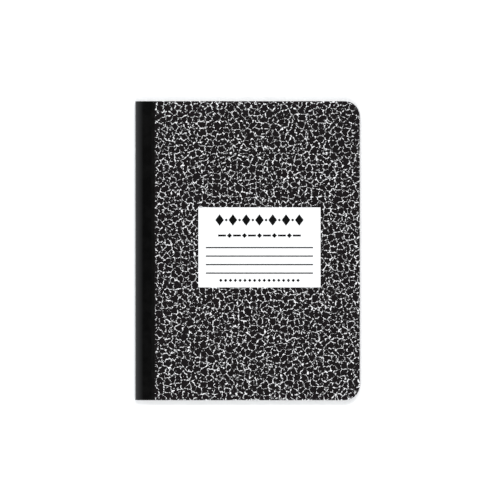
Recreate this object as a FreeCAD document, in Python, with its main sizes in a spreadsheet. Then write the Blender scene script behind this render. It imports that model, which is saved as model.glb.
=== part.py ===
"""Composition notebook, lying on its back cover.

Folded sheets are sewn through their fold into one page block. Two boards cover it, and one
strip of cloth tape wraps the rounded back and laps onto both boards. The print is thin fields
of colour, flush with the boards: the marbling of both covers and, on the front, a white label
with ruled lines and plain printer's ornaments.

The frame: X runs across the covers with the spine at -X, Y runs along the spine to the head,
Z points up through the front cover. The origin is under the middle of the book. Millimetres.
"""
import FreeCAD, Part
import math
import os
import Sketcher

V = FreeCAD.Vector

SIZES = (
    ("book_width", 186.1),
    ("book_height", 247.65),
    ("corner_radius", 12.5),
    ("sheet_count", 100),
    ("sheet_thickness", 0.084),
    ("board_thickness", 0.8),
    ("back_depth", 7.0),
    ("joint_gap", 0.3),
    ("tape_thickness", 0.2),
    ("tape_lap", 13.5),
    ("tape_edge_gap", 0.1),
    ("thread_radius", 0.3),
    ("leg_radius", 0.22),
    ("thread_clearance", 0.05),
    ("stitch_count", 11),
    ("stitch_margin", 9.0),
    ("print_depth", 0.1),
    ("print_start", 16.1),
    ("label_width", 101.2),
    ("label_height", 66.3),
    ("label_right_margin", 32.5),
    ("label_rise", 2.7),
    ("rule_count", 4),
    ("rule_length", 88.8),
    ("rule_thickness", 1.1),
    ("rule_drop", 33.3),
    ("rule_rise", 11.85),
    ("title_drop", 10.45),
    ("title_count", 7),
    ("title_pitch", 11.0),
    ("title_lozenge_width", 7.2),
    ("title_lozenge_height", 9.6),
    ("title_dot_size", 2.6),
    ("divider_drop", 23.3),
    ("divider_count", 5),
    ("divider_pitch", 12.4),
    ("divider_lozenge_size", 4.2),
    ("dash_length", 6.6),
    ("dash_thickness", 1.6),
    ("footer_rise", 5.85),
    ("footer_count", 17),
    ("footer_pitch", 4.0),
    ("footer_lozenge_width", 2.8),
    ("footer_lozenge_height", 3.0),
)

# Places worked out from the sizes above
BLOCK = "Sizes.sheet_count * Sizes.sheet_thickness"
THICKNESS = "(Sizes.sheet_count * Sizes.sheet_thickness + 2 * Sizes.board_thickness)"
MIDDLE = f"{THICKNESS} / 2"
SPINE = "(-Sizes.book_width / 2)"
FORE_EDGE = "Sizes.book_width / 2"
HEAD = "Sizes.book_height / 2"
TAIL = "-Sizes.book_height / 2"
SHOULDER = f"{SPINE} + Sizes.back_depth"
HINGE_LINE = f"{SHOULDER} + Sizes.joint_gap / 2"
BOARD_EDGE = f"{SHOULDER} + Sizes.joint_gap"
TAPE_EDGE = f"{SPINE} + Sizes.tape_lap"
REBATE_EDGE = f"{TAPE_EDGE} + Sizes.tape_edge_gap"
OUTER_RUN = f"{SPINE} + Sizes.tape_thickness + Sizes.thread_radius + 2 * Sizes.thread_clearance"
INNER_RUN = f"{SPINE} + Sizes.tape_thickness + {BLOCK} / 2"
LEG_LENGTH = f"({INNER_RUN}) - ({OUTER_RUN})"
TUNNEL_RADIUS = "(Sizes.thread_radius + Sizes.thread_clearance)"
NEEDLE_RADIUS = "(Sizes.leg_radius + Sizes.thread_clearance)"
FIRST_STITCH = f"{TAIL} + Sizes.stitch_margin"
SEWN_LENGTH = "(Sizes.book_height - 2 * Sizes.stitch_margin)"
PRINT_EDGE = f"{SPINE} + Sizes.print_start"
TUNNEL_LENGTH = f"{SEWN_LENGTH} + 4 * {TUNNEL_RADIUS}"
LABEL_RIGHT = f"({FORE_EDGE} - Sizes.label_right_margin)"
LABEL_LEFT = f"({LABEL_RIGHT} - Sizes.label_width)"
LABEL_MIDDLE = f"({LABEL_RIGHT} - Sizes.label_width / 2)"
LABEL_TOP = "(Sizes.label_rise + Sizes.label_height / 2)"
LABEL_BOTTOM = "(Sizes.label_rise - Sizes.label_height / 2)"

doc = FreeCAD.newDocument("CompositionNotebook")


def make_sizes():
    """The sheet of driving dimensions."""
    sheet = doc.addObject("Spreadsheet::Sheet", "Sizes")
    for row, (name, size) in enumerate(SIZES, start=1):
        sheet.set(f"A{row}", name)
        sheet.set(f"B{row}", str(size))
        sheet.setAlias(f"B{row}", name)
    doc.recompute()
    return sheet


sizes = make_sizes()


def value(expression):
    return float(sizes.evalExpression(expression))


def new_body(name):
    body = doc.addObject("PartDesign::Body", name)
    body.Label = name
    return body


def origin_feature(body, role):
    return next(item for item in body.Origin.OriginFeatures if item.Role == role)


def new_sketch(body, name, plane, offset="0"):
    sketch = body.newObject("Sketcher::SketchObject", name)
    sketch.AttachmentSupport = [(origin_feature(body, plane), "")]
    sketch.MapMode = "FlatFace"
    sketch.setExpression("AttachmentOffset.Base.z", offset)
    return sketch


def pin(sketch, points):
    """Fixes points of a sketch, each at two distances from its origin."""
    pairs = [(kind, geometry, point, expression)
             for geometry, point, place in points
             for kind, expression in zip(("DistanceX", "DistanceY"), place)]
    indices = sketch.addConstraint([
        Sketcher.Constraint(kind, -1, 1, geometry, point, value(expression))
        for kind, geometry, point, expression in pairs])
    for index, (_, _, _, expression) in zip(indices, pairs):
        sketch.setExpression(f"Constraints[{index}]", expression)


def join(sketch, *pairs):
    sketch.addConstraint([Sketcher.Constraint("Coincident", *pair) for pair in pairs])


def add_lines(sketch, places):
    points = [V(value(across), value(up), 0) for across, up in places]
    return [sketch.addGeometry(Part.LineSegment(a, b), False) for a, b in zip(points, points[1:])]


def add_path(sketch, places):
    """Straight lines from place to place, fixed at all but the two ends. Returns both end lines."""
    lines = add_lines(sketch, places)
    join(sketch, *[(before, 2, after, 1) for before, after in zip(lines, lines[1:])])
    pin(sketch, [(line, 1, place) for line, place in zip(lines[1:], places[1:])])
    return lines[0], lines[-1]


def add_polygon(sketch, places):
    lines = add_lines(sketch, places + places[:1])
    join(sketch, *[(before, 2, after, 1) for before, after in zip(lines, lines[1:] + lines[:1])])
    pin(sketch, [(line, 1, place) for line, place in zip(lines, places)])


def add_rectangle(sketch, left, right, bottom, top):
    add_polygon(sketch, [(left, bottom), (right, bottom), (right, top), (left, top)])


def add_lozenge(sketch, across, up, wide, tall):
    add_polygon(sketch, [
        (f"{across} - {wide} / 2", up),
        (across, f"{up} - {tall} / 2"),
        (f"{across} + {wide} / 2", up),
        (across, f"{up} + {tall} / 2"),
    ])


def add_round_back(sketch, inset):
    """Left half of an ellipse round the back, at an inset from the outside of the tape."""
    wide = f"Sizes.back_depth - {inset}"
    tall = f"{MIDDLE} - {inset}"
    ellipse = Part.Ellipse(V(value(SHOULDER), value(MIDDLE), 0), value(wide), value(tall))
    arc = sketch.addGeometry(Part.ArcOfEllipse(ellipse, math.pi / 2, 3 * math.pi / 2), False)
    sketch.exposeInternalGeometry(arc)
    for axis, half in ((arc + 1, wide), (arc + 2, tall)):
        length = f"2 * ({half})"
        index = sketch.addConstraint(Sketcher.Constraint("Distance", axis, value(length)))
        sketch.setExpression(f"Constraints[{index}]", length)
    pin(sketch, [(arc, 3, (SHOULDER, MIDDLE))])
    sketch.addConstraint([
        Sketcher.Constraint("Horizontal", arc + 1),
        Sketcher.Constraint("Vertical", arc, 3, arc, 1),
        Sketcher.Constraint("Vertical", arc, 3, arc, 2)])
    return arc


def pad(body, sketch, name, length, both_ways=False):
    feature = body.newObject("PartDesign::Pad", name)
    feature.Profile = (sketch, [""])
    feature.Midplane = both_ways
    feature.setExpression("Length", length)
    doc.recompute()
    return feature


def pocket(body, sketch, name, depth, both_ways=False, upward=False):
    """Cuts a sketch away and checks that it did cut."""
    before = body.Shape.Volume
    feature = body.newObject("PartDesign::Pocket", name)
    feature.Profile = (sketch, [""])
    feature.Midplane = both_ways
    feature.Reversed = upward
    feature.setExpression("Length", depth)
    doc.recompute()
    check_cut(name, before, body.Shape.Volume)
    return feature


def check_cut(name, before, after):
    if after >= before:
        raise RuntimeError(f"{name} cuts nothing")


def round_corners(body, feature):
    """Rounds the two corners at the fore-edge, as the trimming die does."""
    corners = [(value(FORE_EDGE), value(TAIL)), (value(FORE_EDGE), value(HEAD))]
    names = []
    for number, edge in enumerate(feature.Shape.Edges, start=1):
        low, high = (vertex.Point for vertex in edge.Vertexes)
        if any(math.hypot(end.x - x, end.y - y) < 1e-4 for x, y in corners for end in (low, high)):
            if abs(low.z - high.z) > 1e-4:
                names.append(f"Edge{number}")
    fillet = body.newObject("PartDesign::Fillet", f"{body.Name}_corners")
    fillet.Base = (feature, names)
    fillet.setExpression("Radius", "Sizes.corner_radius")
    doc.recompute()
    return fillet


def place_rod(rod, radius, height, turn, across, along):
    """Sets a cylinder at mid-thickness, along X or Y."""
    rod.Placement = FreeCAD.Placement(V(), turn)
    rod.setExpression("Radius", radius)
    rod.setExpression("Height", height)
    rod.setExpression("Placement.Base.x", across)
    rod.setExpression("Placement.Base.y", along)
    rod.setExpression("Placement.Base.z", MIDDLE)


ALONG_SPINE = FreeCAD.Rotation(V(1, 0, 0), -90)
INTO_FOLD = FreeCAD.Rotation(V(0, 1, 0), 90)


def repeat(body, feature, name, axis, length, count, backward=False):
    """Repeats a feature evenly over a length, along an axis of its body."""
    pattern = body.newObject("PartDesign::LinearPattern", name)
    pattern.Originals = [feature]
    pattern.Direction = (origin_feature(body, axis), [""])
    pattern.Reversed = backward
    pattern.setExpression("Length", length)
    pattern.setExpression("Occurrences", count)
    body.Tip = pattern
    doc.recompute()


def repeat_stitches(body, rod, name):
    repeat(body, rod, name, "Y_Axis", SEWN_LENGTH, "Sizes.stitch_count + 1")


def make_page_block():
    """All sheets as one solid, with a rounded back, a shoulder for the boards and sewing holes."""
    body = new_body("page_block")
    section = new_sketch(body, "block_section", "XZ_Plane")
    back = add_round_back(section, "Sizes.tape_thickness")
    board_top = f"{THICKNESS} - Sizes.board_thickness"
    first, last = add_path(section, [
        (SHOULDER, "Sizes.tape_thickness"),
        (SHOULDER, "Sizes.board_thickness"),
        (FORE_EDGE, "Sizes.board_thickness"),
        (FORE_EDGE, board_top),
        (SHOULDER, board_top),
        (SHOULDER, f"{THICKNESS} - Sizes.tape_thickness"),
    ])
    join(section, (back, 2, first, 1), (back, 1, last, 2))
    block = pad(body, section, "block", "Sizes.book_height", both_ways=True)
    round_corners(body, block)

    channel = new_sketch(body, "channel_section", "XZ_Plane")
    add_rectangle(channel, f"{SPINE} - Sizes.tape_thickness", f"{OUTER_RUN} + {TUNNEL_RADIUS}",
                  f"{MIDDLE} - {TUNNEL_RADIUS}", f"{MIDDLE} + {TUNNEL_RADIUS}")
    pocket(body, channel, "thread_channel", TUNNEL_LENGTH, both_ways=True)

    before = body.Shape.Volume
    gutter = body.newObject("PartDesign::SubtractiveCylinder", "gutter_tunnel")
    place_rod(gutter, TUNNEL_RADIUS, TUNNEL_LENGTH, ALONG_SPINE, INNER_RUN,
              f"{FIRST_STITCH} - 2 * {TUNNEL_RADIUS}")
    hole = body.newObject("PartDesign::SubtractiveCylinder", "needle_hole")
    place_rod(hole, NEEDLE_RADIUS, LEG_LENGTH, INTO_FOLD, OUTER_RUN, FIRST_STITCH)
    doc.recompute()
    repeat_stitches(body, hole, "needle_holes")
    check_cut("needle_holes", before, body.Shape.Volume)
    return body


def make_binding_thread():
    """Lock stitches: a run along the back, a run in the fold and a leg through each hole."""
    body = new_body("binding_thread")
    run_length = f"{SEWN_LENGTH} + 4 * Sizes.thread_radius"
    run_start = f"{FIRST_STITCH} - 2 * Sizes.thread_radius"
    for name, across in (("back_run", OUTER_RUN), ("fold_run", INNER_RUN)):
        run = body.newObject("PartDesign::AdditiveCylinder", name)
        place_rod(run, "Sizes.thread_radius", run_length, ALONG_SPINE, across, run_start)
    leg = body.newObject("PartDesign::AdditiveCylinder", "stitch_leg")
    place_rod(leg, "Sizes.leg_radius", LEG_LENGTH, INTO_FOLD, OUTER_RUN, FIRST_STITCH)
    doc.recompute()
    repeat_stitches(body, leg, "stitch_legs")
    return body


def make_cover(name, outer_face, outer_up):
    """A board with rounded fore-edge corners, a rebate for the tape's lap and one for the print."""
    body = new_body(name)
    outline = new_sketch(body, f"{name}_outline", "XY_Plane")
    add_rectangle(outline, BOARD_EDGE, FORE_EDGE, TAIL, HEAD)
    board = pad(body, outline, f"{name}_board", "Sizes.board_thickness")
    round_corners(body, board)
    past_tail, past_head = f"{TAIL} - Sizes.corner_radius", f"{HEAD} + Sizes.corner_radius"
    for layer, left, right, depth in (
            ("tape", SHOULDER, REBATE_EDGE, "Sizes.tape_thickness"),
            ("print", PRINT_EDGE, f"{FORE_EDGE} + Sizes.corner_radius", "Sizes.print_depth")):
        rebate = new_sketch(body, f"{name}_{layer}_outline", "XY_Plane", outer_face)
        add_rectangle(rebate, left, right, past_tail, past_head)
        pocket(body, rebate, f"{name}_{layer}_rebate", depth, upward=not outer_up)
    return body


def make_front_cover():
    body = make_cover("front_cover", "Sizes.board_thickness", outer_up=True)
    body.setExpression("Placement.Base.z", f"{THICKNESS} - Sizes.board_thickness")
    return body


def make_back_cover():
    return make_cover("back_cover", "0", outer_up=False)


def make_print_sheet(name):
    """The marbled field of one cover, from the plain strip beside the tape to the trimmed edges."""
    body = new_body(name)
    outline = new_sketch(body, f"{name}_outline", "XY_Plane")
    add_rectangle(outline, PRINT_EDGE, FORE_EDGE, TAIL, HEAD)
    sheet = pad(body, outline, f"{name}_sheet", "Sizes.print_depth")
    round_corners(body, sheet)
    return body


def make_back_marbling():
    return make_print_sheet("back_marbling")


def make_front_marbling(label_plate):
    sheet = make_print_sheet("front_sheet")
    raise_print(sheet)
    return cut_away(sheet, [label_plate], "front_marbling")


def make_spine_tape():
    """One strip of cloth tape, from its lap on the front board round to its lap on the back board."""
    body = new_body("spine_tape")
    section = new_sketch(body, "tape_section", "XZ_Plane")
    outside = add_round_back(section, "0")
    inside = add_round_back(section, "Sizes.tape_thickness")
    for outer_face, inner_face, end in ((THICKNESS, f"{THICKNESS} - Sizes.tape_thickness", 1),
                                        ("0", "Sizes.tape_thickness", 2)):
        first, last = add_path(section, [
            (SHOULDER, outer_face),
            (TAPE_EDGE, outer_face),
            (TAPE_EDGE, inner_face),
            (SHOULDER, inner_face),
        ])
        join(section, (outside, end, first, 1), (inside, end, last, 2))
    pad(body, section, "tape", "Sizes.book_height", both_ways=True)
    return body


def raise_print(body):
    """Sets a printed layer flush with the outside of the front cover."""
    body.setExpression("Placement.Base.z", f"{THICKNESS} - Sizes.print_depth")


def add_rule(sketch, middle, up, length, thickness):
    add_rectangle(sketch, f"{middle} - {length} / 2", f"{middle} + {length} / 2",
                  f"{up} - {thickness} / 2", f"{up} + {thickness} / 2")


def make_label_rules():
    """The writing lines of the label."""
    body = new_body("label_rules")
    outline = new_sketch(body, "rule_outline", "XY_Plane")
    add_rule(outline, LABEL_MIDDLE, f"({LABEL_TOP} - Sizes.rule_drop)", "Sizes.rule_length",
             "Sizes.rule_thickness")
    rule = pad(body, outline, "rule", "Sizes.print_depth")
    repeat(body, rule, "rules", "Y_Axis", "Sizes.label_height - Sizes.rule_drop - Sizes.rule_rise",
           "Sizes.rule_count", backward=True)
    raise_print(body)
    return body


def add_row(body, name, count, up, pitch, wide, tall):
    """A row of lozenges, centred across the label."""
    outline = new_sketch(body, f"{name}_outline", "XY_Plane")
    reach = f"({count} - 1) * {pitch}"
    add_lozenge(outline, f"({LABEL_MIDDLE} - {reach} / 2)", up, wide, tall)
    lozenge = pad(body, outline, name, "Sizes.print_depth")
    repeat(body, lozenge, f"{name}_row", "X_Axis", reach, count)


def add_dashes(body, name, count, up, pitch):
    """A row of short thick lines, centred across the label."""
    outline = new_sketch(body, f"{name}_outline", "XY_Plane")
    reach = f"({count} - 1) * {pitch}"
    add_rule(outline, f"({LABEL_MIDDLE} - {reach} / 2)", up, "Sizes.dash_length", "Sizes.dash_thickness")
    dash = pad(body, outline, name, "Sizes.print_depth")
    repeat(body, dash, f"{name}_row", "X_Axis", reach, count)


def make_label_ornaments():
    """Bands of lozenges, dots and dashes, all plain printer's shapes."""
    body = new_body("label_ornaments")
    title_up = f"({LABEL_TOP} - Sizes.title_drop)"
    divider_up = f"({LABEL_TOP} - Sizes.divider_drop)"
    footer_up = f"({LABEL_BOTTOM} + Sizes.footer_rise)"
    add_row(body, "title_lozenge", "Sizes.title_count", title_up, "Sizes.title_pitch",
            "Sizes.title_lozenge_width", "Sizes.title_lozenge_height")
    add_row(body, "title_dot", "(Sizes.title_count - 1)", title_up, "Sizes.title_pitch",
            "Sizes.title_dot_size", "Sizes.title_dot_size")
    add_row(body, "divider_lozenge", "Sizes.divider_count", divider_up, "Sizes.divider_pitch",
            "Sizes.divider_lozenge_size", "Sizes.divider_lozenge_size")
    add_dashes(body, "divider_dash", "(Sizes.divider_count + 1)", divider_up, "Sizes.divider_pitch")
    add_row(body, "footer_lozenge", "Sizes.footer_count", footer_up, "Sizes.footer_pitch",
            "Sizes.footer_lozenge_width", "Sizes.footer_lozenge_height")
    raise_print(body)
    return body


def make_label_plate():
    plate = doc.addObject("Part::Box", "label_plate")
    plate.setExpression("Length", "Sizes.label_width")
    plate.setExpression("Width", "Sizes.label_height")
    plate.setExpression("Height", "Sizes.print_depth")
    plate.setExpression("Placement.Base.x", LABEL_LEFT)
    plate.setExpression("Placement.Base.y", LABEL_BOTTOM)
    plate.setExpression("Placement.Base.z", f"{THICKNESS} - Sizes.print_depth")
    return plate


def cut_away(base, tools, name):
    """Leaves other printed shapes out of a printed field."""
    field = base
    for tool in tools:
        cut = doc.addObject("Part::Cut", f"{base.Name}_without_{tool.Name}")
        cut.Base = field
        cut.Tool = tool
        field = cut
    field.Label = name
    doc.recompute()
    check_cut(name, base.Shape.Volume, field.Shape.Volume)
    return field


def make_parts():
    plate = make_label_plate()
    rules = make_label_rules()
    ornaments = make_label_ornaments()
    return [make_page_block(), make_binding_thread(), make_front_cover(), make_back_cover(),
            make_spine_tape(), make_front_marbling(plate), make_back_marbling(),
            cut_away(plate, [rules, ornaments], "label_field"), rules, ornaments]


def check_document():
    doc.recompute()
    failed = [item.Name for item in doc.Objects if {"Invalid", "Error"} & set(item.State)]
    if failed:
        raise RuntimeError(f"failed objects: {failed}")


def write_parts(parts):
    os.makedirs("parts", exist_ok=True)
    for part in parts:
        shape = part.Shape
        if shape.isNull() or not shape.isValid():
            raise RuntimeError(f"{part.Label} has no valid shape")
        shape.exportStep(f"parts/{part.Label}.step")
        box = shape.BoundBox
        print(f"{part.Label}: {len(shape.Solids)} solids, {shape.Volume:.1f} mm3,"
              f" x {box.XMin:.2f} {box.XMax:.2f}, y {box.YMin:.2f} {box.YMax:.2f},"
              f" z {box.ZMin:.2f} {box.ZMax:.2f}")


parts = make_parts()
check_document()
write_parts(parts)
print(f"hinge lines at x {value(HINGE_LINE):.3f}, z 0 and {value(THICKNESS):.3f}")
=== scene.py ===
"""Looks of the composition notebook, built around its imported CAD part.

The frame is the part's own: metres, X from the spine to the fore-edge, Y along the spine to the
head, Z up through the front cover. The book lies closed on its back cover.
"""
import math

import bpy
import numpy as np
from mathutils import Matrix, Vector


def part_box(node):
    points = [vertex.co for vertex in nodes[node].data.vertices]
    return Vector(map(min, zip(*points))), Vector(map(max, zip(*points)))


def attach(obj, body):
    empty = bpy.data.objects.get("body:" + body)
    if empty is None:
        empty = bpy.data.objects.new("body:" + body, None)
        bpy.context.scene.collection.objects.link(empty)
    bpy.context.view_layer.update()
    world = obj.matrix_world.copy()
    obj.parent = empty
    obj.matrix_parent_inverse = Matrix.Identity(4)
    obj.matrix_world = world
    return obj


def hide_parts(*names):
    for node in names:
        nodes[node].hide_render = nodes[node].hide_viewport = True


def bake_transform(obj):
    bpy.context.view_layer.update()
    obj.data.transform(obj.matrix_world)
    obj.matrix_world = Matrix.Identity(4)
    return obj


MM = 0.001

# Construction of the book
LEAF_COUNT = 50
LEAF_PITCH = 0.084 * MM
LEAF_THICKNESS = 0.070 * MM
TRIM_SPREAD = 0.03 * MM
CORNER_RADIUS = 12.5 * MM
BACK_DEPTH = 7.0 * MM
TAPE_THICKNESS = 0.2 * MM
BOARD_THICKNESS = 0.8 * MM

# Points along the tape's section: angles round the back, then millimetres from the spine
TURN_STARTS = (0.0, 0.004)
TURN_REST = 0.06
TURN_POINTS = 26
HINGE_ZONE_START = 7.04
HINGE_ZONE_END = 7.52
HINGE_ZONE_STEP = 0.04
LAP_START = 7.8
LAP_POINTS = 8

# Points along a leaf: millimetres from the spine on its flat part, and counts on its curves
LEAF_STATIONS = (150.0, 110.0, 70.0, 30.0, 12.0, 7.8, 7.5, 7.25, 7.1)
LEAF_CORNER_POINTS = 10
LEAF_FOLD_POINTS = 15

# Millimetres from the spine between which the swollen fold of the leaves eases off
SWELL_START = 6.4
SWELL_END = 7.25

# Two nets of veins: cell and half a vein's width in millimetres, how readily it is kept, seed
VEIN_NETS = ((5.1, 0.143, 1.05, 3.0), (3.6, 0.090, -1.4, 37.0))

# Shares in the marbled print: change of a vein's width, and white in the faintest vein
WIDTH_CHANGE = 0.85
FAINTEST_VEIN = 0.2

# Fine sizes of prints, cloth and thread, in millimetres
VEIN_BLUR = 0.03
HAIRLINE = 0.01
RAGGED_REACH = 1.6
WEAVE_PITCH = 0.7
STRAND_PITCH = 0.5

# Slope of the thread's strands
STRAND_SLANT = 1.5

# Page ruling, in millimetres
RULE_SPACING = 8.73
RULE_HALF_WIDTH = 0.17
HEADER_SPACE = 30.0
FOOTER_SPACE = 12.0
MARGIN_FROM_SPINE = 32.0
MARGIN_HALF_WIDTH = 0.18

# Plain noise: its middle, its usual swing about it, and the range it fills with finer detail
NOISE_MIDDLE = 0.5
NOISE_SWING = 0.125
NOISE_LOW = 0.3
NOISE_HIGH = 0.7

# Share of straight up or down from which a face of a leaf counts as a page
PAGE_FACING = 0.9

# Rim left free round the map of a printed field, as a share of the map
MAP_RIM = 0.002

# Studio light: levels of the dome at angles from the zenith, horizon first
DOME = ((90.0, 0.80), (72.0, 0.88), (57.0, 0.74), (45.0, 0.62), (32.0, 0.47), (20.0, 0.33),
        (12.0, 0.17), (5.0, 0.03), (0.0, 0.015))
DOME_TINT = (0.97, 1.0, 1.03)
DOME_STRENGTH = 1.12
DOME_SLOPE = (-0.30, 0.20, 0.0)

# Two narrow softboxes, tilted from the zenith towards the head and the tail
LAMP_SIZE = (1.30, 0.42)
LAMP_DISTANCE = 3.0
LAMP_TILT = 20.0
LAMP_POWERS = {"head_lamp": 33.5, "tail_lamp": 29.5}

# White floor, low enough for the back cover when it lies open
FLOOR_LEVEL = -0.85 * MM
FLOOR_REACH = 4.0

# Camera high above the front cover
LENS = 400.0
SENSOR = 36.0
CAMERA_PLACE = (0.00212, 0.00056, 4.612)


def grey(value, warmth=0.0):
    """Grey with a little more red and less blue by its warmth."""
    return (value * (1 + warmth), value, value * (1 - warmth), 1.0)


# Inks
SOLID_BLACK = grey(0.0030, 0.06)
MARBLING_INKS = ((0.0092, 0.0073, 0.0079, 1.0), (0.0076, 0.0060, 0.0064, 1.0))
WHITE_PRINT = grey(0.90)
RULE_INK = grey(0.03)
ORNAMENT_INK = grey(0.004)
RULE_BLUE = (0.22, 0.38, 0.66, 1.0)
MARGIN_RED = (0.66, 0.16, 0.22, 1.0)

# Share to which an even print darkens in places
INK_MOTTLE = 0.97

# Darker and lighter tones of each bare material
BOARD_EDGE_TONES = (grey(0.34, 0.05), grey(0.5, 0.04))
BOARD_LINING_TONES = (grey(0.62, 0.03), grey(0.7, 0.02))
CLOTH_TONES = (grey(0.0006, 0.03), grey(0.0010, 0.03))
# The thread's darker tone is painted shade in the grooves between strands, its lighter tone a
# painted highlight on their crests
THREAD_GROOVE_SHADE_TONES = ((0.62, 0.61, 0.57, 1.0), (0.8, 0.79, 0.75, 1.0))
SHEET_TONES = ((0.70, 0.70, 0.68, 1.0), (0.76, 0.76, 0.745, 1.0))
# Page edges: the darker streaks are painted shade in the gaps between leaves, mixed with a random
# tint of each leaf
SHEET_EDGE_GAP_SHADE_TONES = (grey(0.58, 0.03), grey(0.82, 0.02))
FLOOR_WHITE = grey(0.95)


class Shader:
    """One procedural material, built node by node."""

    def __init__(self, name, roughness=0.5, specular=0.5):
        self.material = bpy.data.materials.new(name)
        self.material.use_nodes = True
        self.tree = self.material.node_tree
        self.surface = self.tree.nodes["Principled BSDF"]
        self.surface.inputs["Roughness"].default_value = roughness
        self.surface.inputs["Specular IOR Level"].default_value = specular

    def add(self, kind, **settings):
        node = self.tree.nodes.new(kind)
        for name, value in settings.items():
            setattr(node, name, value)
        return node

    def feed(self, socket, value):
        """Gives a socket a plain value or the output of another node."""
        if isinstance(value, bpy.types.NodeSocket):
            self.tree.links.new(value, socket)
        else:
            socket.default_value = value

    def math(self, operation, *values):
        node = self.add("ShaderNodeMath", operation=operation)
        for socket, value in zip(node.inputs, values):
            self.feed(socket, value)
        return node.outputs[0]

    def vector(self, operation, first, second=None, scale=None):
        node = self.add("ShaderNodeVectorMath", operation=operation)
        self.feed(node.inputs[0], first)
        if second is not None:
            self.feed(node.inputs[1], second)
        if scale is not None:
            self.feed(node.inputs["Scale"], scale)
        return node.outputs["Vector"]

    def ramp(self, value, low, high, to_low=0.0, to_high=1.0):
        """Smooth step from one value to another."""
        node = self.add("ShaderNodeMapRange", interpolation_type="SMOOTHSTEP")
        for name, setting in (("Value", value), ("From Min", low), ("From Max", high),
                              ("To Min", to_low), ("To Max", to_high)):
            self.feed(node.inputs[name], setting)
        return node.outputs["Result"]

    def mix(self, share, first, second):
        node = self.add("ShaderNodeMix", data_type="RGBA")
        self.feed(node.inputs["Factor"], share)
        self.feed(node.inputs["A"], first)
        self.feed(node.inputs["B"], second)
        return node.outputs["Result"]

    def split(self, vector):
        node = self.add("ShaderNodeSeparateXYZ")
        self.feed(node.inputs[0], vector)
        return node.outputs

    def millimetres(self):
        """Place in the part's own frame, in millimetres."""
        coordinates = self.add("ShaderNodeTexCoord")
        return self.vector("SCALE", coordinates.outputs["Object"], scale=1.0 / MM)

    def facing(self):
        """How far a face points up in the part's own frame, from -1 to 1."""
        coordinates = self.add("ShaderNodeTexCoord")
        return self.split(coordinates.outputs["Normal"])["Z"]

    def noise(self, place, size, detail=2.0, seed=0.0, output="Fac"):
        """Cloudy noise whose features are about size millimetres across."""
        node = self.add("ShaderNodeTexNoise", noise_dimensions="3D")
        self.feed(node.inputs["Vector"], self.vector("ADD", place, (seed, -seed, 0.5 * seed)))
        self.feed(node.inputs["Scale"], 1.0 / size)
        self.feed(node.inputs["Detail"], detail)
        return node.outputs[output]

    def spread(self, cloud, to_low=0.0, to_high=1.0):
        """Cloudy noise, spread over the range from one value to another."""
        return self.ramp(cloud, NOISE_LOW, NOISE_HIGH, to_low, to_high)

    def swing(self, place, size, middle, reach, seed):
        """Noise about a middle value, mostly within reach of it."""
        cloud = self.noise(place, size, detail=0.0, seed=seed)
        centred = self.math("SUBTRACT", cloud, NOISE_MIDDLE)
        return self.math("ADD", middle, self.math("MULTIPLY", centred, reach / NOISE_SWING))

    def warp(self, place, size, reach, seed):
        """Moves a place about by noise, up to about reach millimetres."""
        cloud = self.noise(place, size, detail=0.0, seed=seed, output="Color")
        centred = self.vector("SUBTRACT", cloud, (NOISE_MIDDLE, NOISE_MIDDLE, NOISE_MIDDLE))
        return self.vector("ADD", place, self.vector("SCALE", centred, scale=reach / NOISE_SWING))

    def edge_distance(self, place, size, seed):
        """Millimetres to the nearest edge in a net of cells about size across."""
        node = self.add("ShaderNodeTexVoronoi", voronoi_dimensions="2D",
                        feature="DISTANCE_TO_EDGE")
        self.feed(node.inputs["Vector"], self.vector("ADD", place, (seed, 2 * seed, 0.0)))
        self.feed(node.inputs["Scale"], 1.0 / size)
        return self.math("MULTIPLY", node.outputs["Distance"], size)

    def bump(self, height, distance, strength=1.0):
        node = self.add("ShaderNodeBump")
        self.feed(node.inputs["Height"], height)
        self.feed(node.inputs["Distance"], distance)
        self.feed(node.inputs["Strength"], strength)
        self.feed(self.surface.inputs["Normal"], node.outputs["Normal"])

    def varnish(self, place):
        """Thin varnish over board: nearly even gloss on a surface that is not quite flat."""
        self.bump(self.noise(place, size=1.5), distance=0.0012 * MM)
        return self.spread(self.noise(place, size=6.0), to_low=0.10, to_high=0.14)

    def finish(self, colour, roughness=None):
        self.feed(self.surface.inputs["Base Color"], colour)
        if roughness is not None:
            self.feed(self.surface.inputs["Roughness"], roughness)
        return self.material


def vein_net(shader, place, bent, cell, half_width, readiness, seed):
    """Share of white in one net: veins of changing width, left out in places."""
    distance = shader.edge_distance(bent, cell, seed)
    width = shader.swing(place, size=1.2, middle=half_width, reach=WIDTH_CHANGE * half_width,
                         seed=seed + 5)
    width = shader.math("MAXIMUM", width, HAIRLINE)
    vein = shader.ramp(shader.math("SUBTRACT", width, distance), -VEIN_BLUR, VEIN_BLUR)
    kept = shader.swing(place, size=2.3, middle=readiness, reach=1.0, seed=seed + 9)
    return shader.math("MULTIPLY", vein, shader.ramp(kept, -0.15, 0.15))


def marbling_net(shader, place):
    """Share of white in the marbled print: thin crooked veins, broken and faded in places."""
    bent = shader.warp(place, size=2.2, reach=0.34, seed=11.0)
    coarse, fine = [vein_net(shader, place, bent, *net) for net in VEIN_NETS]
    strength = shader.swing(place, size=1.3, middle=1.15, reach=0.24, seed=51.0)
    strength = shader.math("MINIMUM", shader.math("MAXIMUM", strength, FAINTEST_VEIN), 1.0)
    return shader.math("MULTIPLY", shader.math("MAXIMUM", coarse, fine), strength)


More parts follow.
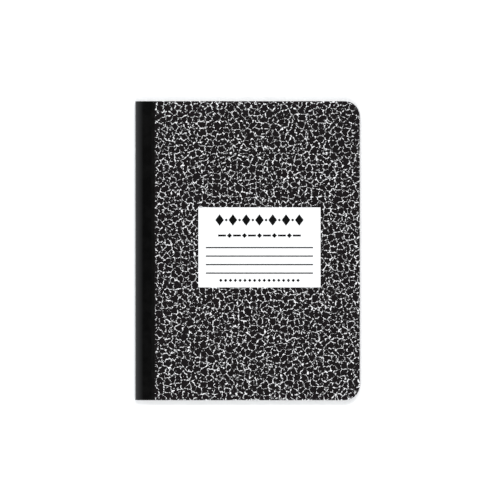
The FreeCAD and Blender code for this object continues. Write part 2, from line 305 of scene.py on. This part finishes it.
def make_marbled_print(start):
    """Black print with a white marbled net that fades out raggedly at its spine side."""
    shader = Shader("marbled_print")
    place = shader.millimetres()
    net = marbling_net(shader, place)
    reach = shader.math("SUBTRACT", shader.split(place)["X"], start / MM)
    teeth = shader.math("MULTIPLY", shader.noise(place, size=1.4), RAGGED_REACH)
    ragged = shader.math("SUBTRACT", reach, teeth)
    net = shader.math("MULTIPLY", net, shader.ramp(ragged, -0.6, 0.2))
    ink = shader.mix(shader.noise(place, size=1.1), *MARBLING_INKS)
    return shader.finish(shader.mix(net, ink, WHITE_PRINT), shader.varnish(place))


def make_printed_board(name, outward):
    """Varnished black print outside, plain light board inside and at the trimmed edges."""
    shader = Shader(name)
    place = shader.millimetres()
    facing = shader.math("MULTIPLY", shader.facing(), outward)
    fibres = shader.noise(place, size=0.6, detail=4.0)
    edge = shader.mix(fibres, *BOARD_EDGE_TONES)
    lining = shader.mix(fibres, *BOARD_LINING_TONES)
    light_side = shader.mix(shader.math("LESS_THAN", facing, -0.5), edge, lining)
    outside = shader.math("GREATER_THAN", facing, 0.5)
    gloss = shader.varnish(place)
    matte = shader.spread(fibres, to_low=0.68, to_high=0.8)
    roughness = shader.ramp(facing, 0.45, 0.55, to_low=matte, to_high=gloss)
    return shader.finish(shader.mix(outside, light_side, SOLID_BLACK), roughness)


def make_cloth_tape():
    """Black cloth with a fine plain weave and a slight shine."""
    shader = Shader("cloth_tape", specular=0.36)
    weave_map = shader.add("ShaderNodeUVMap", uv_map="weave")
    across = shader.split(weave_map.outputs["UV"])
    waves = [shader.math("SINE", shader.math("MULTIPLY", across[axis], 2 * math.pi / WEAVE_PITCH))
             for axis in ("X", "Y")]
    weave = shader.math("MULTIPLY", waves[0], waves[1])
    place = shader.millimetres()
    shader.bump(weave, distance=0.004 * MM, strength=0.5)
    tone = shader.spread(shader.noise(place, size=9.0, detail=4.0))
    gloss = shader.ramp(tone, 0.0, 1.0, to_low=0.135, to_high=0.155)
    return shader.finish(shader.mix(tone, *CLOTH_TONES), gloss)


def make_flat_print(name, colour):
    """One even ink, or the bare white, under the varnish."""
    shader = Shader(name)
    place = shader.millimetres()
    tone = shader.noise(place, size=0.5, detail=3.0)
    darker = tuple(INK_MOTTLE * channel for channel in colour[:3]) + (1.0,)
    return shader.finish(shader.mix(tone, darker, colour), shader.varnish(place))


def make_thread():
    """Twisted cotton, with slanted strands, coloured with painted shade in the grooves between
    strands and a painted highlight on their crests.
    """
    shader = Shader("thread", roughness=0.8, specular=0.2)
    parts = shader.split(shader.millimetres())
    slant = shader.math("ADD", parts["Y"], shader.math("MULTIPLY", parts["Z"], STRAND_SLANT))
    strands = shader.math("SINE", shader.math("MULTIPLY", slant, 2 * math.pi / STRAND_PITCH))
    shader.bump(strands, distance=0.05 * MM)
    # Colour follows the strands' height: painted shade in the grooves, painted highlight on the
    # crests
    return shader.finish(shader.mix(shader.ramp(strands, -1.0, 1.0), *THREAD_GROOVE_SHADE_TONES))


def draw_ruling(shader, place, sheet, spine, head, tail):
    """Blue rules from the header to the footer and a red margin line, over the bare sheet."""
    parts = shader.split(place)
    below_head = shader.math("SUBTRACT", head / MM - HEADER_SPACE, parts["Y"])
    from_rule = shader.math("PINGPONG", below_head, RULE_SPACING / 2)
    rule = shader.math("LESS_THAN", from_rule, RULE_HALF_WIDTH)
    under_header = shader.math("GREATER_THAN", below_head, -RULE_HALF_WIDTH)
    over_footer = shader.math("GREATER_THAN", parts["Y"], tail / MM + FOOTER_SPACE)
    rule = shader.math("MULTIPLY", rule, shader.math("MULTIPLY", under_header, over_footer))
    from_margin = shader.math("SUBTRACT", parts["X"], spine / MM + MARGIN_FROM_SPINE)
    margin = shader.math("LESS_THAN", shader.math("ABSOLUTE", from_margin), MARGIN_HALF_WIDTH)
    return shader.mix(margin, shader.mix(rule, sheet, RULE_BLUE), MARGIN_RED)


def make_paper(spine, head, tail):
    """White writing paper, ruled on its pages; at its edges, streaks that are painted shade
    between the leaves mixed with a random tint of each leaf.
    """
    shader = Shader("paper", specular=0.15)
    place = shader.millimetres()
    fibres = shader.noise(place, size=0.8, detail=4.0)
    sheet = shader.mix(fibres, *SHEET_TONES)
    page = draw_ruling(shader, place, sheet, spine, head, tail)
    # Streaks across the leaves at the edges: painted shade between the leaves together with a
    # random tint of each leaf
    along_sheets = shader.vector("MULTIPLY", place, (0.02, 0.02, 1.0))
    gap_shade_streaks = shader.ramp(shader.noise(along_sheets, size=0.16, detail=3.0), 0.35, 0.65)
    edge = shader.mix(gap_shade_streaks, *SHEET_EDGE_GAP_SHADE_TONES)
    flat = shader.math("GREATER_THAN", shader.math("ABSOLUTE", shader.facing()), PAGE_FACING)
    shader.bump(fibres, distance=0.004 * MM)
    roughness = shader.spread(fibres, to_low=0.80, to_high=0.92)
    return shader.finish(shader.mix(flat, edge, page), roughness)


def new_piece(name, vertices, faces, material):
    mesh = bpy.data.meshes.new(name)
    mesh.from_pydata([tuple(vertex) for vertex in vertices], [], [tuple(face) for face in faces])
    mesh.validate()
    mesh.materials.append(material)
    piece = bpy.data.objects.new(name, mesh)
    bpy.context.scene.collection.objects.link(piece)
    return piece


def offset_line(line, distance):
    """A line of points in a plane, shifted sideways by a distance."""
    along = np.gradient(line, axis=0)
    along /= np.linalg.norm(along, axis=1, keepdims=True)
    sideways = np.stack([-along[:, 1], along[:, 0]], axis=1)
    return line + distance * sideways


def smooth_step(low, high, value):
    share = np.clip((value - low) / (high - low), 0.0, 1.0)
    return share * share * (3.0 - 2.0 * share)


def half_height_at(x, half_height, fore_edge):
    """How far a sheet reaches along Y at a place, with its fore-edge corners rounded."""
    into = np.clip(x - (fore_edge - CORNER_RADIUS), 0.0, CORNER_RADIUS)
    return half_height - CORNER_RADIUS + np.sqrt(CORNER_RADIUS ** 2 - into ** 2)


def extrude_strip(line_outer, line_inner, reach):
    """Bent sheet between two lines in the X-Z plane, as far as reach either way along Y."""
    count = len(line_outer)
    vertices, faces = [], []
    for (outer_x, outer_z), (inner_x, inner_z), y in zip(line_outer, line_inner, reach):
        vertices += [(outer_x, -y, outer_z), (outer_x, y, outer_z),
                     (inner_x, y, inner_z), (inner_x, -y, inner_z)]
    for station in range(count - 1):
        near = 4 * station
        far = near + 4
        for side in range(4):
            turn = (side + 1) % 4
            faces.append((near + side, near + turn, far + turn, far + side))
    last = 4 * (count - 1)
    faces += [(3, 2, 1, 0), (last, last + 1, last + 2, last + 3)]
    return vertices, faces


def leaf_line(number, spine, fore_edge, middle, block_half):
    """Middle line of a folded leaf, from its lower fore-edge round the fold to its upper one."""
    height = block_half * (1.0 - (number + 0.5) / LEAF_COUNT)
    shoulder = spine + BACK_DEPTH
    apex = TAPE_THICKNESS + (number + 0.5) * LEAF_PITCH
    depth = BACK_DEPTH - apex
    rounding = np.linspace(math.pi / 2, 0.0, LEAF_CORNER_POINTS)
    corner = fore_edge - CORNER_RADIUS + CORNER_RADIUS * np.sin(rounding)
    flat = spine + np.array(LEAF_STATIONS) * MM
    turn = np.linspace(math.pi / 2, 0.0, LEAF_FOLD_POINTS)
    across = np.concatenate([corner, flat, shoulder - depth * np.cos(turn)])
    round_share = np.concatenate([np.ones(len(corner) + len(flat)), np.sin(turn)])
    swell = 1.0 - smooth_step(SWELL_START * MM, SWELL_END * MM, across - spine)
    widest = (middle - TAPE_THICKNESS) / block_half - 1.0
    up = height * (1.0 + widest * swell) * round_share
    upper = np.stack([across, middle + up], axis=1)
    lower = np.stack([across, middle - up], axis=1)
    return np.concatenate([lower, upper[-2::-1]])


def make_leaves(name, numbers, spine, fore_edge, half_height, middle, block_half, paper):
    """Folded double leaves, nested in one another and trimmed together."""
    random = np.random.default_rng(seed=7)
    vertices, faces = [], []
    for number in numbers:
        leaf_edge = fore_edge - random.uniform(0.0, TRIM_SPREAD)
        leaf_height = half_height - random.uniform(0.0, TRIM_SPREAD)
        line = leaf_line(number, spine, leaf_edge, middle, block_half)
        outer = offset_line(line, LEAF_THICKNESS / 2)
        inner = offset_line(line, -LEAF_THICKNESS / 2)
        reach = half_height_at(line[:, 0], leaf_height, leaf_edge)
        more_vertices, more_faces = extrude_strip(outer, inner, reach)
        start = len(vertices)
        vertices += more_vertices
        faces += [tuple(start + corner for corner in face) for face in more_faces]
    return new_piece(name, vertices, faces, paper)


def spread_map(piece, low, high):
    """Map from above that fills the square, so that the print stays sharp when it is baked."""
    layer = piece.data.uv_layers.new(name="OFBake")
    piece.data.uv_layers.active = layer
    inner = 1.0 - 2 * MAP_RIM
    for loop in piece.data.loops:
        place = piece.data.vertices[loop.vertex_index].co
        layer.data[loop.index].uv = (MAP_RIM + inner * (place.x - low.x) / (high.x - low.x),
                                     MAP_RIM + inner * (place.y - low.y) / (high.y - low.y))


def make_print_sheet(name, node, material):
    """The printed field of one cover, in the CAD node's own shape."""
    piece = bpy.data.objects.new(name, node.data.copy())
    bpy.context.scene.collection.objects.link(piece)
    piece.data.materials.clear()
    piece.data.materials.append(material)
    while piece.data.uv_layers:
        piece.data.uv_layers.remove(piece.data.uv_layers[0])
    spread_map(piece, *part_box(node.name))
    return piece


def tape_line(spine, tape_edge, middle, inset):
    """Half of the tape's section, from mid-spine up over the shoulder to its lap's edge."""
    shoulder = spine + BACK_DEPTH
    turn = np.concatenate([TURN_STARTS, np.linspace(TURN_REST, math.pi / 2, TURN_POINTS)])
    round_back = np.stack([shoulder - (BACK_DEPTH - inset) * np.cos(turn),
                           (middle - inset) * np.sin(turn)], axis=1)
    hinge_zone = spine + np.arange(HINGE_ZONE_START, HINGE_ZONE_END, HINGE_ZONE_STEP) * MM
    lap = np.linspace(spine + LAP_START * MM, tape_edge, LAP_POINTS)
    level = np.concatenate([hinge_zone, lap])
    flat = np.stack([level, np.full(len(level), middle - inset)], axis=1)
    return np.concatenate([round_back, flat])


def add_weave_map(piece, line, stations):
    """Millimetres along the tape's section and along the spine, for the weave."""
    steps = np.linalg.norm(np.diff(line, axis=0), axis=1)
    along = np.concatenate([[0.0], np.cumsum(steps)]) / MM
    layer = piece.data.uv_layers.new(name="weave")
    for loop in piece.data.loops:
        vertex = loop.vertex_index
        layer.data[loop.index].uv = (along[vertex // 4 % stations],
                                     piece.data.vertices[vertex].co.y / MM)


def make_tape_half(name, spine, tape_edge, half_height, middle, upward, material):
    """One half of the cloth tape, from the middle of the spine to its lap on one board."""
    outer = tape_line(spine, tape_edge, middle, 0.0)
    inner = tape_line(spine, tape_edge, middle, TAPE_THICKNESS)
    for line in (outer, inner):
        line[:, 1] = middle + upward * line[:, 1]
    reach = np.full(len(outer), half_height)
    vertices, faces = extrude_strip(outer, inner, reach)
    if upward > 0:
        faces = [face[::-1] for face in faces]
    piece = new_piece(name, vertices, faces, material)
    add_weave_map(piece, outer, len(outer))
    piece.data.shade_smooth()
    piece.data.set_sharp_from_angle(angle=math.radians(35))
    return piece


def make_floor_material():
    shader = Shader("floor", roughness=0.9, specular=0.1)
    return shader.finish(FLOOR_WHITE)


def add_floor(material):
    corners = [(-1, -1), (1, -1), (1, 1), (-1, 1)]
    vertices = [(x * FLOOR_REACH, y * FLOOR_REACH, FLOOR_LEVEL) for x, y in corners]
    mesh = bpy.data.meshes.new("floor")
    mesh.from_pydata(vertices, [], [(0, 1, 2, 3)])
    mesh.materials.append(material)
    floor = bpy.data.objects.new("floor", mesh)
    bpy.context.scene.collection.objects.link(floor)


def light_world():
    """Soft dome, pale at the horizon and dark at the zenith, where the camera is."""
    world = bpy.data.worlds.new("studio")
    bpy.context.scene.world = world
    world.use_nodes = True
    tree = world.node_tree
    tree.nodes.clear()
    coordinates = tree.nodes.new("ShaderNodeTexCoord")
    parts = tree.nodes.new("ShaderNodeSeparateXYZ")
    ramp = tree.nodes.new("ShaderNodeValToRGB")
    background = tree.nodes.new("ShaderNodeBackground")
    output = tree.nodes.new("ShaderNodeOutputWorld")
    elements = ramp.color_ramp.elements
    while len(elements) < len(DOME):
        elements.new(0.5)
    for element, (from_zenith, level) in zip(elements, DOME):
        element.position = math.cos(math.radians(from_zenith))
        element.color = tuple(level * share for share in DOME_TINT) + (1.0,)
    slope = tree.nodes.new("ShaderNodeVectorMath")
    slope.operation = "DOT_PRODUCT"
    slope.inputs[1].default_value = DOME_SLOPE
    brightness = tree.nodes.new("ShaderNodeMath")
    brightness.operation = "MULTIPLY_ADD"
    brightness.inputs[1].default_value = DOME_STRENGTH
    brightness.inputs[2].default_value = DOME_STRENGTH
    for source, socket in (
            (coordinates.outputs["Generated"], parts.inputs[0]),
            (coordinates.outputs["Generated"], slope.inputs[0]),
            (slope.outputs["Value"], brightness.inputs[0]),
            (brightness.outputs[0], background.inputs["Strength"]),
            (parts.outputs["Z"], ramp.inputs["Fac"]),
            (ramp.outputs["Color"], background.inputs["Color"]),
            (background.outputs["Background"], output.inputs["Surface"])):
        tree.links.new(source, socket)


def add_lamps():
    """Softboxes high above the book, so that its own shadow stays close to it."""
    for name, towards in (("head_lamp", 1.0), ("tail_lamp", -1.0)):
        data = bpy.data.lights.new(name, "AREA")
        data.shape = "RECTANGLE"
        data.size, data.size_y = LAMP_SIZE
        data.energy = LAMP_POWERS[name]
        lamp = bpy.data.objects.new(name, data)
        bpy.context.scene.collection.objects.link(lamp)
        tilt = math.radians(towards * LAMP_TILT)
        lamp.location = (0.0, LAMP_DISTANCE * math.sin(tilt), LAMP_DISTANCE * math.cos(tilt))
        lamp.rotation_euler = (-tilt, 0.0, 0.0)


def add_camera():
    """Straight down at the front cover, with the head of the book at the top of the picture."""
    data = bpy.data.cameras.new("camera")
    data.lens = LENS
    data.sensor_width = SENSOR
    camera = bpy.data.objects.new("camera", data)
    bpy.context.scene.collection.objects.link(camera)
    camera.location = CAMERA_PLACE
    bpy.context.scene.camera = camera


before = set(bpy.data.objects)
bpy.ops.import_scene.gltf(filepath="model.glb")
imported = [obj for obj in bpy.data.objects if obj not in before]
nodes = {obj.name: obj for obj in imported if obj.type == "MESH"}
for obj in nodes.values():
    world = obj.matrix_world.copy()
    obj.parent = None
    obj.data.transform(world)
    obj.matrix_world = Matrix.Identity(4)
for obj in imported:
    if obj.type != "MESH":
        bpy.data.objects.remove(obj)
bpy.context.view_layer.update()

tape_low, tape_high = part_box("spine_tape")
block_low, block_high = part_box("page_block")
spine, fore_edge = tape_low.x, block_high.x
head, tail = block_high.y, block_low.y
thickness = tape_high.z
middle = thickness / 2
block_half = middle - BOARD_THICKNESS
print_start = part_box("front_marbling")[0].x

paper = make_paper(spine, head, tail)
marbled = make_marbled_print(print_start)
cloth = make_cloth_tape()

shared = (spine, fore_edge, head, middle, block_half, paper)
outer_leaf = make_leaves("outer_leaf", [0], *shared)
inner_leaves = make_leaves("inner_leaves", range(1, LEAF_COUNT), *shared)
for leaves in (outer_leaf, inner_leaves):
    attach(leaves, "book_block")
    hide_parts("page_block")

for side, upward in (("front", 1), ("back", -1)):
    printed = make_print_sheet(f"{side}_print", nodes[f"{side}_marbling"], marbled)
    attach(printed, f"{side}_board")
    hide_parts(f"{side}_marbling")

    tape = make_tape_half(f"tape_{side}", spine, tape_high.x, head, middle, upward, cloth)
    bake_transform(tape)
    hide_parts("spine_tape")

finishes = {
    "front_cover": make_printed_board("front_board_print", 1.0),
    "back_cover": make_printed_board("back_board_print", -1.0),
    "binding_thread": make_thread(),
    "label_field": make_flat_print("white_print", WHITE_PRINT),
    "label_rules": make_flat_print("grey_ink", RULE_INK),
    "label_ornaments": make_flat_print("black_ink", ORNAMENT_INK),
}
for name, material in finishes.items():
    nodes[name].data.materials.clear()
    nodes[name].data.materials.append(material)

add_floor(make_floor_material())
light_world()
add_lamps()
add_camera()
bpy.context.scene.view_settings.view_transform = "Standard"
